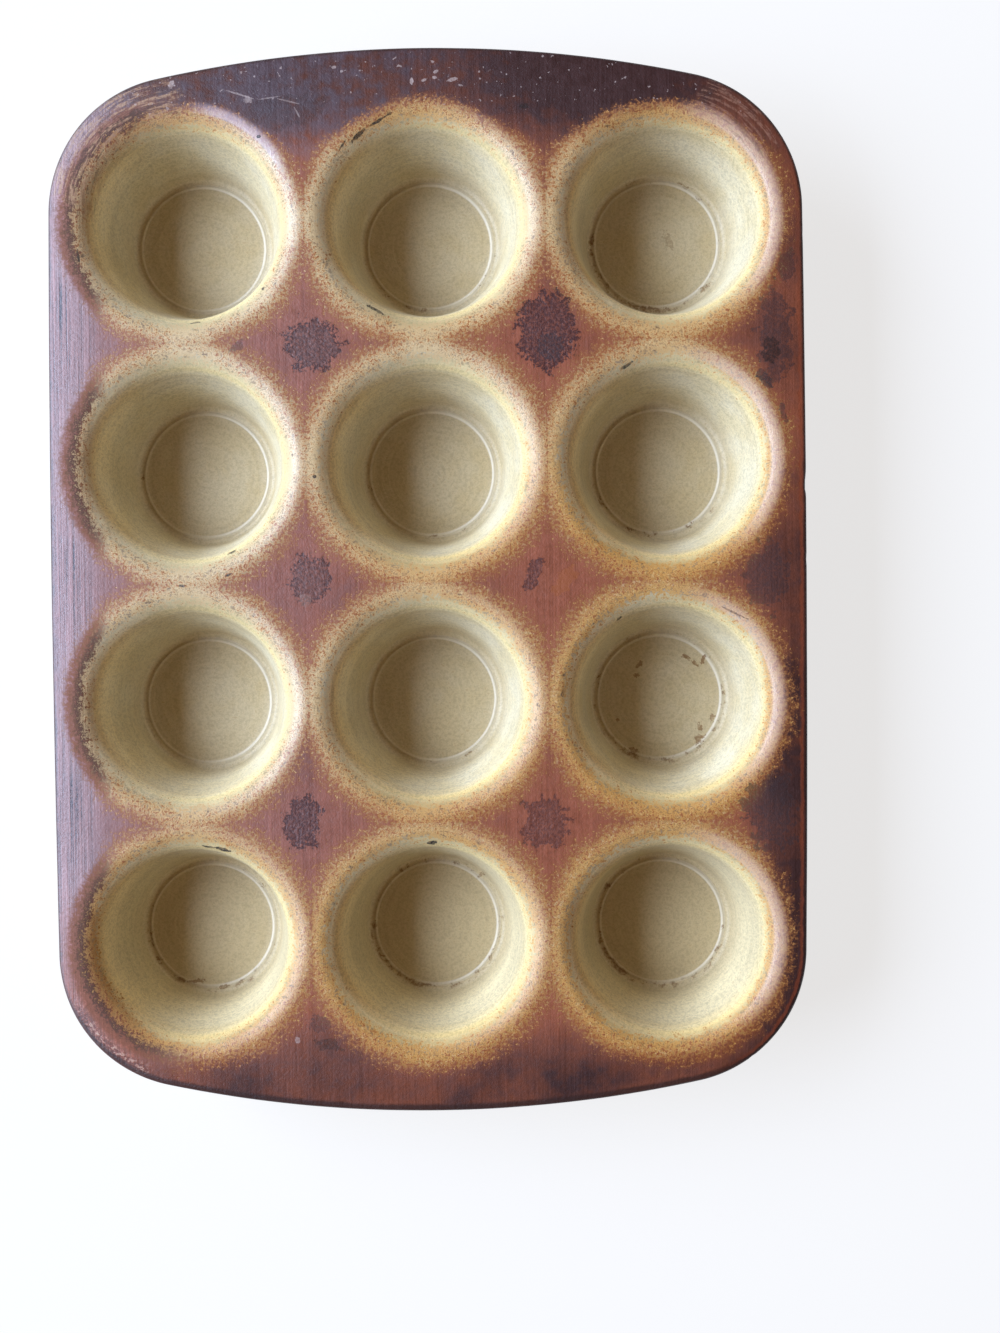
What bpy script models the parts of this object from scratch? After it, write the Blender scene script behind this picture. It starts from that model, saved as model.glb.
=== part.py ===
"""Stoneware muffin pan: a bow-ended deck with a rounded rim, and twelve tapered cups joined under it.

Lengths are in metres. +Z is up, the cups stand on z = 0, the pan is centred on the Z axis and its
long side runs along Y. Row 1 is the row at +Y, and left is -X.
"""

import math

import bmesh
import bpy
from mathutils import Vector

# Cup layout
ROW_COUNT = 4
COLUMN_NAMES = ("left", "middle", "right")

# Cup section
PAN_HEIGHT = 0.045
CUP_DEPTH = 0.036
MOUTH_RADIUS = 0.044
LIP_RADIUS = 0.0095
INNER_DRAFT = math.radians(14)
OUTER_DRAFT = math.radians(16.5)
TOP_WALL = 0.0093
FLOOR_FILLET = 0.002
FOOT_FILLET = 0.0042
SHOULDER_FILLET = 0.0008
CUP_WEB = 0.0008

# Deck and its rim
DECK_THICKNESS = 0.0066
SIDE_BORDER = 0.008
END_BORDER = 0.0205
END_BOW = 0.0215
SIDE_BOW = 0.0018
CORNER_RADIUS = 0.0514
SLOPE_WIDTH = 0.0184
SLOPE_DROP = 0.0012
RIM_TOP_RADIUS = 0.0016
RIM_BOTTOM_RADIUS = 0.002

# Clearance between the deck and each cup's top, and how far the cutters pass the deck
JOINT_GAP = 0.0003
CUTTER_PASS = 0.003
CUTTER_LIFT = 0.00002

# Facets
TURN_SEGMENTS = 32
LIP_STEPS = 5
FILLET_STEPS = 2
CORNER_STEPS = 12
SIDE_STEPS = 8
END_STEPS = 10
SLOPE_STEPS = 3
RIM_STEPS = 3

# Finish: seasoned deck, bare clay cups
DECK_COLOUR = (0.16, 0.055, 0.035, 1.0)
DECK_ROUGHNESS = 0.42
CLAY_COLOUR = (0.56, 0.43, 0.24, 1.0)
CLAY_ROUGHNESS = 0.75

FLOOR_Z = PAN_HEIGHT - CUP_DEPTH
UNDERSIDE_Z = PAN_HEIGHT - DECK_THICKNESS
CUP_TOP_Z = UNDERSIDE_Z - JOINT_GAP
LIP_SWEEP = math.pi / 2 - INNER_DRAFT


def wall_radius(z):
    """Inner radius of a cup's straight wall at height z."""
    lip_end_radius = MOUTH_RADIUS - LIP_RADIUS * math.sin(LIP_SWEEP)
    lip_end_z = PAN_HEIGHT - LIP_RADIUS * (1 - math.cos(LIP_SWEEP))
    return lip_end_radius - (lip_end_z - z) * math.tan(INNER_DRAFT)


def outer_radius(z):
    """Outer radius of a cup's straight wall at height z."""
    return wall_radius(CUP_TOP_Z) + TOP_WALL - (CUP_TOP_Z - z) * math.tan(OUTER_DRAFT)


def arc(centre, radius, start, end, steps):
    """Points (radius, height) along an arc about a centre, with angles from +R towards +Z."""
    turn = (end - start) / steps
    angles = [start + turn * i for i in range(steps + 1)]
    return [(centre[0] + radius * math.cos(a), centre[1] + radius * math.sin(a)) for a in angles]


def lower_corner(radius_at, draft, plane_z, fillet):
    """Arc that turns a drafted wall into a level face at plane_z."""
    tangent_z = plane_z + fillet * (1 - math.sin(draft))
    centre = (radius_at(tangent_z) - fillet * math.cos(draft), plane_z + fillet)
    return arc(centre, fillet, -draft, -math.pi / 2, FILLET_STEPS)


def shoulder_arc():
    """Hollow fillet from a cup's outer wall to its top, listed from the top down."""
    centre_z = CUP_TOP_Z - SHOULDER_FILLET
    tangent_z = centre_z + SHOULDER_FILLET * math.sin(OUTER_DRAFT)
    centre = (outer_radius(tangent_z) + SHOULDER_FILLET * math.cos(OUTER_DRAFT), centre_z)
    return arc(centre, SHOULDER_FILLET, math.pi / 2, math.pi - OUTER_DRAFT, FILLET_STEPS)


def inner_profile():
    """A cup's inside from the mouth's edge to the middle of its floor."""
    lip_centre = (MOUTH_RADIUS, PAN_HEIGHT - LIP_RADIUS)
    lip = arc(lip_centre, LIP_RADIUS, math.pi / 2, math.pi / 2 + LIP_SWEEP, LIP_STEPS)
    corner = lower_corner(wall_radius, INNER_DRAFT, FLOOR_Z, FLOOR_FILLET)
    return lip + corner + [(0.0, FLOOR_Z)]


def cut_profile(points, z):
    """Splits a falling profile at height z into the part above and the part below."""
    above = [p for p in points if p[1] > z]
    below = [p for p in points if p[1] <= z]
    high, low = above[-1], below[0]
    share = (high[1] - z) / (high[1] - low[1])
    crossing = (high[0] + (low[0] - high[0]) * share, z)
    return above + [crossing], [crossing] + below


SHOULDER_RADIUS = shoulder_arc()[0][0]
CUP_PITCH = 2 * max(MOUTH_RADIUS, SHOULDER_RADIUS) + CUP_WEB
FIRST_COLUMN_X = -CUP_PITCH * (len(COLUMN_NAMES) - 1) / 2
FIRST_ROW_Y = CUP_PITCH * (ROW_COUNT - 1) / 2
HALF_WIDTH = -FIRST_COLUMN_X + MOUTH_RADIUS + SIDE_BORDER
HALF_LENGTH = FIRST_ROW_Y + MOUTH_RADIUS + END_BORDER


def cup_places():
    """Name and axis position of every cup."""
    for row in range(ROW_COUNT):
        for column, column_name in enumerate(COLUMN_NAMES):
            x = FIRST_COLUMN_X + column * CUP_PITCH
            y = FIRST_ROW_Y - row * CUP_PITCH
            yield f"cup_row{row + 1}_{column_name}", Vector((x, y, 0.0))


def bow_radius(half_chord, bow):
    """Radius of a shallow arc that rises by bow over half its chord."""
    return (half_chord**2 + bow**2) / (2 * bow)


def corner_centre(side_radius, end_radius):
    """Centre of the corner arc that touches both the side arc and the end arc."""
    side = Vector((HALF_WIDTH - side_radius, 0.0))
    end = Vector((0.0, HALF_LENGTH - end_radius))
    reach_side = side_radius - CORNER_RADIUS
    reach_end = end_radius - CORNER_RADIUS
    apart = (end - side).length
    along = (reach_side**2 - reach_end**2 + apart**2) / (2 * apart)
    across = math.sqrt(reach_side**2 - along**2)
    step = (end - side) / apart
    return side + step * along + Vector((-step.y, step.x)) * across


def outline(inset):
    """The pan's outline, set in by inset, as points counter-clockwise from the end of the +X side."""
    side_radius = bow_radius(HALF_LENGTH, SIDE_BOW)
    end_radius = bow_radius(HALF_WIDTH, END_BOW)
    corner = corner_centre(side_radius, end_radius)
    side_centre_x = HALF_WIDTH - side_radius
    end_centre_y = HALF_LENGTH - end_radius
    side_turn = math.atan2(corner.y, corner.x - side_centre_x)
    end_turn = math.atan2(corner.y - end_centre_y, corner.x)
    side = arc((side_centre_x, 0.0), side_radius - inset, 0.0, side_turn, SIDE_STEPS // 2)
    turn = arc(tuple(corner), CORNER_RADIUS - inset, side_turn, end_turn, CORNER_STEPS)
    end = arc((0.0, end_centre_y), end_radius - inset, end_turn, math.pi / 2, END_STEPS // 2)
    quarter = side[:-1] + turn[:-1] + end
    half = quarter + [(-x, y) for x, y in reversed(quarter[:-1])]
    return half + [(x, -y) for x, y in reversed(half[1:-1])]


def rim_profile():
    """The rim as (inset, height) from the flat of the deck, over the edge, to the underside."""
    edge_height = DECK_THICKNESS - SLOPE_DROP
    top_radius = min(RIM_TOP_RADIUS, edge_height / 2)
    bottom_radius = min(RIM_BOTTOM_RADIUS, edge_height - top_radius)
    slope = []
    for i in range(SLOPE_STEPS + 1):
        share = i / SLOPE_STEPS
        inset = SLOPE_WIDTH + (top_radius - SLOPE_WIDTH) * share
        slope.append((inset, PAN_HEIGHT - SLOPE_DROP * share**2))
    edge_top_z = slope[-1][1]
    top = arc((-top_radius, edge_top_z - top_radius), top_radius, math.pi / 2, 0.0, RIM_STEPS)
    bottom_centre = (-bottom_radius, UNDERSIDE_Z + bottom_radius)
    bottom = arc(bottom_centre, bottom_radius, 0.0, -math.pi / 2, RIM_STEPS)
    return slope[:-1] + [(-r, z) for r, z in top + bottom]


def finish_material(name, colour, roughness):
    material = bpy.data.materials.new(name)
    material.use_nodes = True
    shader = material.node_tree.nodes["Principled BSDF"]
    shader.inputs["Base Color"].default_value = colour
    shader.inputs["Roughness"].default_value = roughness
    shader.inputs["Metallic"].default_value = 0.0
    return material


def mesh_from(bm, name, material):
    """Closes off a bmesh as a smooth-shaded mesh with outward faces."""
    bmesh.ops.recalc_face_normals(bm, faces=bm.faces[:])
    mesh = bpy.data.meshes.new(name)
    bm.to_mesh(mesh)
    bm.free()
    mesh.shade_smooth()
    mesh.set_sharp_from_angle(angle=math.radians(40))
    if material:
        mesh.materials.append(material)
    return mesh


def turned(bm, profile, at=(0.0, 0.0, 0.0)):
    """Turns a profile of (radius, height) points, both ends on the axis, into a closed body."""
    verts = [bm.verts.new(Vector((r, 0.0, z)) + Vector(at)) for r, z in profile]
    edges = [bm.edges.new(pair) for pair in zip(verts, verts[1:])]
    bmesh.ops.spin(
        bm,
        geom=verts + edges,
        cent=at,
        axis=(0.0, 0.0, 1.0),
        angle=2 * math.pi,
        steps=TURN_SEGMENTS,
        use_merge=True,
    )
    bmesh.ops.remove_doubles(bm, verts=bm.verts[:], dist=1e-6)


def add_object(name, mesh, parent, location=(0.0, 0.0, 0.0)):
    item = bpy.data.objects.new(name, mesh)
    bpy.context.scene.collection.objects.link(item)
    item.location = location
    item.parent = parent
    return item


def cup_mesh(material):
    """One cup: bare inside, drafted outside wall, rounded foot and flat base."""
    inside = cut_profile(inner_profile(), CUP_TOP_Z)[1]
    foot = lower_corner(outer_radius, OUTER_DRAFT, 0.0, FOOT_FILLET) + [(0.0, 0.0)]
    bm = bmesh.new()
    turned(bm, list(reversed(inside)) + shoulder_arc() + foot)
    return mesh_from(bm, "cup", material)


def mouth_cutters(parent):
    """The shape of every cup's mouth, as one guide object that the deck is cut with."""
    through_deck = cut_profile(inner_profile(), UNDERSIDE_Z - CUTTER_PASS)[0]
    top_z = PAN_HEIGHT + CUTTER_PASS
    profile = [(0.0, top_z), (MOUTH_RADIUS, top_z)]
    profile += [(r, z + CUTTER_LIFT) for r, z in through_deck]
    profile.append((0.0, UNDERSIDE_Z - CUTTER_PASS + CUTTER_LIFT))
    bm = bmesh.new()
    for _, place in cup_places():
        turned(bm, profile, place)
    cutters = add_object("mouth_cutters", mesh_from(bm, "mouth_cutters", None), parent)
    cutters.hide_render = True
    cutters.display_type = "WIRE"
    return cutters


def deck_blank():
    """The deck before its mouths are cut: level in the middle, falling to a rounded edge."""
    bm = bmesh.new()
    rings = []
    for inset, z in rim_profile():
        rings.append([bm.verts.new((x, y, z)) for x, y in outline(inset)])
    count = len(rings[0])
    for upper, lower in zip(rings, rings[1:]):
        for i in range(count):
            j = (i + 1) % count
            bm.faces.new((upper[i], lower[i], lower[j], upper[j]))
    bm.faces.new(rings[0])
    bm.faces.new(list(reversed(rings[-1])))
    return bm


def add_deck(parent, material):
    deck = add_object("deck", mesh_from(deck_blank(), "deck", material), parent)
    cut = deck.modifiers.new("mouths", "BOOLEAN")
    cut.operation = "DIFFERENCE"
    cut.solver = "EXACT"
    cut.object = mouth_cutters(parent)
    return deck


def build():
    for item in list(bpy.data.objects):
        bpy.data.objects.remove(item)
    pan = bpy.data.objects.new("pan", None)
    bpy.context.scene.collection.objects.link(pan)
    seasoned = finish_material("seasoned_clay", DECK_COLOUR, DECK_ROUGHNESS)
    bare = finish_material("bare_clay", CLAY_COLOUR, CLAY_ROUGHNESS)
    add_deck(pan, seasoned)
    cup = cup_mesh(bare)
    for name, place in cup_places():
        add_object(name, cup, pan, place)


build()
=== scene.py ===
"""Stoneware muffin pan: a seasoned deck over twelve fired cups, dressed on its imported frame.

Lengths are in metres, and the shader graphs turn the place of a point into millimetres. +Z is up,
the cups stand on z = 0, row 1 is at +Y and left is -X.
"""

import math

import bmesh
import bpy
from bpy.props import FloatProperty, FloatVectorProperty, IntProperty, PointerProperty
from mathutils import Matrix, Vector, noise


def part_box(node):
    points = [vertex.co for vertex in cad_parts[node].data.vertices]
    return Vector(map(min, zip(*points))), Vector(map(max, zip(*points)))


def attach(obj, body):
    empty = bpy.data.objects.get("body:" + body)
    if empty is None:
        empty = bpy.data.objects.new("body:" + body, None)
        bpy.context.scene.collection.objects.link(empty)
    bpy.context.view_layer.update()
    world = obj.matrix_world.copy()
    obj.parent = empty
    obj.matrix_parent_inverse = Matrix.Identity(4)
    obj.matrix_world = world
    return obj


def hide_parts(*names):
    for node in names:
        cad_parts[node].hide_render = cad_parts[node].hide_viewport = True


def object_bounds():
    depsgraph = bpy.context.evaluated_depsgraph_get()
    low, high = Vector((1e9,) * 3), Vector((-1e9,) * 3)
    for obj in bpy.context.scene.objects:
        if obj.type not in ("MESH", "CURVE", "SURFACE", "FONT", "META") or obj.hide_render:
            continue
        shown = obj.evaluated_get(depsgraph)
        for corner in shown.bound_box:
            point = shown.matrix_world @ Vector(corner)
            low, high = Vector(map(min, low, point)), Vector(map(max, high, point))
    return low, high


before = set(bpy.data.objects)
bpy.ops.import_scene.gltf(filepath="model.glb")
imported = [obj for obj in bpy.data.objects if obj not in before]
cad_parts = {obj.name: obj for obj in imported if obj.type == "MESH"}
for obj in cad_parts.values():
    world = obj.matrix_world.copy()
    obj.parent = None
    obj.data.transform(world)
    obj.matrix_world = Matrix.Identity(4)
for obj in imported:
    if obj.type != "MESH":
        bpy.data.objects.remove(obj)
CAD_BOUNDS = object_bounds()

bl_info = {
    "name": "Stoneware muffin pan",
    "version": (1, 0, 0),
    "blender": (4, 5, 0),
    "location": "View3D > Sidebar > Muffin pan",
    "description": "Builds a seasoned stoneware muffin pan and its studio",
    "category": "Object",
}

DECK_LOW, DECK_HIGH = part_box("deck")
COLUMNS = ("left", "middle", "right")
ROWS = 4
CUPS = [(row, column) for row in range(ROWS) for column in range(len(COLUMNS))]
MM = 1000.0
WELD = 1e-5
SPIN_WELD = 1e-6
SHARP_ANGLE = math.radians(50)

# Crust baked on to each cup's floor ring, 0 to 1, row by row from the left
CRUST = ((0.0, 0.25, 0.65), (0.0, 0.1, 0.35), (0.0, 0.2, 0.55), (0.45, 0.65, 0.6))


def cup_name(row, column):
    return f"cup_row{row + 1}_{COLUMNS[column]}"


def cup_axis(row, column):
    low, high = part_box(cup_name(row, column))
    return (low.xy + high.xy) / 2


PITCH = (cup_axis(0, 2).x - cup_axis(0, 0).x) / 2


def setting(name, description, default, unit="LENGTH"):
    return FloatProperty(name=name, description=description, default=default, unit=unit)


def colour_setting(name, description, default):
    return FloatVectorProperty(name=name, description=description, default=default, subtype="COLOR")


class PanShape(bpy.types.PropertyGroup):
    mouth_radius: setting("Mouth radius", "Radius where a lip meets the deck", 0.044)
    lip_radius: setting("Lip rounding", "Rounding of a cup's lip", 0.0095)
    cup_depth: setting("Cup depth", "Depth of a cup below the deck", 0.036)
    inner_draft: setting("Inner draft", "Slope of a cup's inside", math.radians(14), "ROTATION")
    outer_draft: setting("Outer draft", "Slope of a cup's outside", math.radians(16.5), "ROTATION")
    top_wall: setting("Wall at the top", "Cup wall under the deck", 0.0093)
    foot_fillet: setting("Foot rounding", "Rounding of a cup's foot", 0.0042)
    side_bow: setting("Side bow", "How far each long side bows out", 0.0018)
    end_bow: setting("End bow", "How far each short end bows out", 0.0215)
    corner_radius: setting("Corner radius", "Radius of the deck's corners", 0.0514)
    slope_width: setting("Border width", "Width of the falling border", 0.0184)
    slope_drop: setting("Border fall", "How far the border falls", 0.0012)
    unevenness: setting("Unevenness", "Waviness left by forming and firing", 0.00022)
    turn_segments: IntProperty(
        name="Turn segments", description="Faces round a cup, a multiple of 8",
        default=192, min=32, max=256,
    )


class PanFinish(bpy.types.PropertyGroup):
    seasoned: colour_setting("Seasoned deck", "Mahogany of the deck", (0.27, 0.077, 0.036))
    burnt: colour_setting("Burnt deck", "Darkest seasoning", (0.045, 0.016, 0.014))
    rust: colour_setting("Rust", "Outer ring round the mouths", (0.3, 0.105, 0.035))
    amber: colour_setting("Amber", "Toasted ring round the mouths", (0.47, 0.222, 0.066))
    gold: colour_setting("Gold", "Speckled fringe of the mouths", (0.6, 0.352, 0.112))
    cream: colour_setting("Cream", "Clean inside of the cups", (0.65, 0.585, 0.41))
    toasted: colour_setting("Toasted clay", "Outside of the cups", (0.6, 0.37, 0.15))
    ground: colour_setting("Floor", "Pale studio floor", (0.86, 0.86, 0.85))


class StudioLight(bpy.types.PropertyGroup):
    window_power: setting("Window", "Power of the window panel", 187.0, "POWER")
    window_tint: colour_setting("Window tint", "Colour of the window", (0.68, 0.8, 1.0))
    room_tint: colour_setting("Room tint", "Colour of the room's fill", (1.0, 0.515, 0.315))
    room_strength: setting("Room", "Strength of the room's fill", 0.14, "NONE")
    focal_length: setting("Focal length", "Lens of the camera in mm", 36.46, "NONE")


# Plan of the deck


def bow_radius(half_chord, bow):
    """Radius of a shallow arc that rises by bow over half its chord."""
    return (half_chord**2 + bow**2) / (2 * bow)


class Plan:
    """The deck's outline: a side arc, a corner arc and an end arc, mirrored into each quarter."""

    # Farther than any rim, and how often the way there is halved
    REACH, HALVINGS = 0.25, 40

    def __init__(self, shape):
        half_width, half_length = DECK_HIGH.x, DECK_HIGH.y
        side_radius = bow_radius(half_length, shape.side_bow)
        end_radius = bow_radius(half_width, shape.end_bow)
        side = Vector((half_width - side_radius, 0.0))
        end = Vector((0.0, half_length - end_radius))
        reach_side = side_radius - shape.corner_radius
        reach_end = end_radius - shape.corner_radius
        apart = (end - side).length
        along = (reach_side**2 - reach_end**2 + apart**2) / (2 * apart)
        step = (end - side) / apart
        across = Vector((-step.y, step.x)) * math.sqrt(reach_side**2 - along**2)
        corner = side + step * along + across
        self.side, self.end = (side, side_radius), (end, end_radius)
        self.corner = (corner, shape.corner_radius)
        self.side_turn = math.atan2(corner.y, corner.x - side.x)
        self.end_turn = math.atan2(corner.y - end.y, corner.x)

    def arc_by(self, place):
        """Centre and radius of the arc of the outline that a point lies against."""
        x, y = abs(place.x), abs(place.y)
        if math.atan2(y, x - self.side[0].x) < self.side_turn:
            centre, radius = self.side
        elif math.atan2(y - self.end[0].y, x) > self.end_turn:
            centre, radius = self.end
        else:
            centre, radius = self.corner
        return Vector([math.copysign(1, p) * c for p, c in zip(place, centre)]), radius

    def inset(self, place):
        """How far inside the outline a point lies."""
        centre, radius = self.arc_by(place)
        return radius - (place - centre).length

    def moved(self, place, inset):
        """The point on the same normal of the outline at another inset."""
        centre, radius = self.arc_by(place)
        return centre + (place - centre).normalized() * (radius - inset)

    def along(self, start, direction, inset):
        """Where a ray from inside the outline reaches an inset."""
        near, far = 0.0, self.REACH
        for _ in range(self.HALVINGS):
            middle = (near + far) / 2
            if self.inset(start + direction * middle) > inset:
                near = middle
            else:
                far = middle
        return start + direction * near


class Cell:
    """One cup's share of the deck, bounded by its neighbours' shares and the rim."""

    def __init__(self, plan, row, column, inset, segments):
        self.plan, self.inset = plan, inset
        self.centre = cup_axis(row, column)
        self.snap = math.pi / segments
        half = PITCH / 2
        neighbours = {
            (-1, 0): column > 0,
            (1, 0): column < len(COLUMNS) - 1,
            (0, 1): row > 0,
            (0, -1): row < ROWS - 1,
        }
        self.walls = [Vector(way) for way, found in neighbours.items() if found]
        self.corners = []
        for wall in self.walls:
            foot = self.centre + wall * half
            for side in (Vector((wall.y, wall.x)), Vector((-wall.y, -wall.x))):
                if side not in self.walls:
                    self.corners.append(plan.along(foot, side, inset))

    def edge(self, direction):
        """Where the ray from the cup's axis leaves the share."""
        for corner in self.corners:
            if direction.angle(corner - self.centre) < self.snap:
                return corner
        place = self.plan.along(self.centre, direction, self.inset) if len(self.walls) < 4 else None
        for wall in self.walls:
            lean = direction.dot(wall)
            if lean > WELD:
                hit = self.centre + direction * (PITCH / 2 / lean)
                if place is None or (hit - self.centre).length < (place - self.centre).length:
                    place = hit
        return place


# Sections


def arc(centre, radius, start, end, steps):
    """Points (radius, height) along an arc, with angles from +R towards +Z."""
    turn = (end - start) / steps
    angles = [start + turn * i for i in range(steps + 1)]
    return [(centre[0] + radius * math.cos(a), centre[1] + radius * math.sin(a)) for a in angles]


def straight(start, end, steps):
    """Points between two points, without the two."""
    return [tuple(a + (b - a) * i / steps for a, b in zip(start, end)) for i in range(1, steps)]


class Section:
    """The section through a cup, its lip and the rim."""

    LIP_STEPS = 12
    RIM_INSET = 0.003
    RIM_SLACK = 0.0001
    RIM_TOP = 0.0016
    RIM_BOTTOM = 0.002
    FLOOR_FILLET = 0.0024
    SHOULDER_FILLET = 0.0008
    RING_HALF = 0.0009
    RING_HEIGHT = 0.00034
    RING_STEPS = 6

    def __init__(self, shape):
        self.shape = shape
        self.top = CAD_BOUNDS[1].z
        self.floor = self.top - shape.cup_depth
        self.cup_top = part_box(cup_name(0, 0))[1].z
        self.seam = (self.cup_top + DECK_LOW.z) / 2
        self.lip_centre = (shape.mouth_radius, self.top - shape.lip_radius)
        self.seam_turn = math.pi - math.asin((self.seam - self.lip_centre[1]) / shape.lip_radius)
        self.lip_end_turn = math.pi - shape.inner_draft

    def lip(self):
        """Up the lip from the seam to the flat of the deck."""
        radius = self.shape.lip_radius
        return arc(self.lip_centre, radius, self.seam_turn, math.pi / 2, self.LIP_STEPS)

    def wall_radius(self, z):
        end_r = self.lip_centre[0] + self.shape.lip_radius * math.cos(self.lip_end_turn)
        end_z = self.lip_centre[1] + self.shape.lip_radius * math.sin(self.lip_end_turn)
        return end_r - (end_z - z) * math.tan(self.shape.inner_draft)

    def outer_radius(self, z):
        at_top = self.wall_radius(self.cup_top) + self.shape.top_wall
        return at_top - (self.cup_top - z) * math.tan(self.shape.outer_draft)

    def lower_corner(self, radius_at, draft, plane_z, fillet, steps):
        tangent_z = plane_z + fillet * (1 - math.sin(draft))
        centre = (radius_at(tangent_z) - fillet * math.cos(draft), plane_z + fillet)
        return arc(centre, fillet, -draft, -math.pi / 2, steps)

    def cup_inside(self):
        """From the seam down the wall, over the floor ring, to the axis."""
        lip = arc(self.lip_centre, self.shape.lip_radius, self.seam_turn, self.lip_end_turn, 2)
        corner = self.lower_corner(
            self.wall_radius, self.shape.inner_draft, self.floor, self.FLOOR_FILLET, 7
        )
        ring_radius = corner[-1][0] - self.RING_HALF
        ring = []
        for i in range(self.RING_STEPS + 1):
            share = i / self.RING_STEPS
            lift = self.RING_HEIGHT * (1 - math.cos(2 * math.pi * share)) / 2
            ring.append((ring_radius + self.RING_HALF * (1 - 2 * share), self.floor + lift))
        middle = straight(ring[-1], (0.0, self.floor), 9)
        return lip + straight(lip[-1], corner[0], 12) + corner + ring + middle + [(0.0, self.floor)]

    def cup_outside(self):
        """From the axis over the base and the foot, up to the shoulder under the deck."""
        shape = self.shape
        foot = self.lower_corner(self.outer_radius, shape.outer_draft, 0.0, shape.foot_fillet, 7)
        fillet = self.SHOULDER_FILLET
        centre_z = self.seam - fillet
        tangent_z = centre_z + fillet * math.sin(shape.outer_draft)
        centre = (self.outer_radius(tangent_z) + fillet * math.cos(shape.outer_draft), centre_z)
        shoulder = arc(centre, fillet, math.pi / 2, math.pi - shape.outer_draft, 4)
        wall = straight(shoulder[-1], foot[0], 12)
        return [(0.0, 0.0)] + straight((0.0, 0.0), foot[-1], 8) + (shoulder + wall + foot)[::-1]

    def rim(self):
        """(inset, height) over the rim, from the border to the underside."""
        top, bottom, slack = self.RIM_TOP, self.RIM_BOTTOM, self.RIM_SLACK
        high = arc((top + slack, self.top - top), top, math.pi / 2, math.pi, 6)
        low = arc((bottom + slack, self.seam + bottom), bottom, math.pi, 1.5 * math.pi, 6)
        return high + straight(high[-1], low[0], 2) + low + [(self.RIM_INSET, self.seam)]

    def border_fall(self, inset):
        """How far the border has fallen at an inset."""
        edge = self.RIM_TOP
        share = (self.shape.slope_width - inset) / (self.shape.slope_width - edge)
        return self.shape.slope_drop * limited(share) ** 2


# Meshes

# The clay's unevenness fades out near the rim's edge and near the feet
CALM_RIM, CALM_FOOT = 0.012, 0.006
# Small chips on the rim's right edge: how near the edge and how far right they start, how deep
# they go, and how small and how rare they are
CHIPPED_INSET, CHIPPED_SIDE, DEEPEST_CHIP = 0.0032, 0.1, 0.0004
RIM_CHIPS, RIM_RARE = 130.0, 0.55
# Small chips at the feet: how far from the axis they start, how high they reach, how small and
# how rare they are
CHIPPED_RADIUS, CHIPPED_HEIGHT = 0.029, 0.004
FOOT_CHIPS, FOOT_RARE = 160.0, 0.4


def grow(bm, edges, move):
    """Extrudes open edges, moves the new points, and gives the new open edges."""
    grown = bmesh.ops.extrude_edge_only(bm, edges=edges)["geom"]
    verts = {item for item in grown if isinstance(item, bmesh.types.BMVert)}
    for vert in verts:
        vert.co = move(vert.co)
    return [e for e in grown if isinstance(e, bmesh.types.BMEdge) and verts.issuperset(e.verts)]


def share_of_deck(bm, cell, start, profile, steps, segments):
    """Spreads one cup's share of a skin from a ring, up a profile, and out to the share's edge."""
    centre = cell.centre
    ring = bmesh.ops.create_circle(bm, segments=segments, radius=start[0])["verts"]
    for vert in ring:
        vert.co = (*(vert.co.xy + centre), start[1])
    edges = list({edge for vert in ring for edge in vert.link_edges})
    for radius, z in profile:
        edges = grow(bm, edges, lambda co: (*(centre + (co.xy - centre).normalized() * radius), z))
    for i in range(steps):
        share = 1 / (steps - i)

        def outwards(co):
            edge = cell.edge((co.xy - centre).normalized())
            return (*co.xy.lerp(edge, share), co.z)

        edges = grow(bm, edges, outwards)


def limited(share):
    """A share kept from 0 to 1."""
    return min(max(share, 0.0), 1.0)


# Seed of the waviness, so that each run forms the same clay
WAVE_SEED = 7


def uneven(co, amount, inset=1.0):
    """Small waviness of formed and fired clay, the same for pieces that meet."""
    drift = noise.noise_vector(co * 30.0) * amount + noise.noise_vector(co * 95.0) * amount * 0.3
    drift.xy *= limited(inset / CALM_RIM)
    drift.z *= limited(co.z / CALM_FOOT)
    return drift


def added(name, data):
    """A new object in the scene, for a mesh, a lamp or a camera."""
    item = bpy.data.objects.new(name, data)
    bpy.context.scene.collection.objects.link(item)
    return item


def finished(bm, name, material):
    """Turns a closed bmesh into a smooth piece that rides on the pan."""
    bmesh.ops.recalc_face_normals(bm, faces=bm.faces[:])
    mesh = bpy.data.meshes.new(name)
    bm.to_mesh(mesh)
    bm.free()
    mesh.shade_smooth()
    mesh.set_sharp_from_angle(angle=SHARP_ANGLE)
    mesh.materials.append(material)
    piece = added(name, mesh)
    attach(piece, "root")
    return piece


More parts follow.
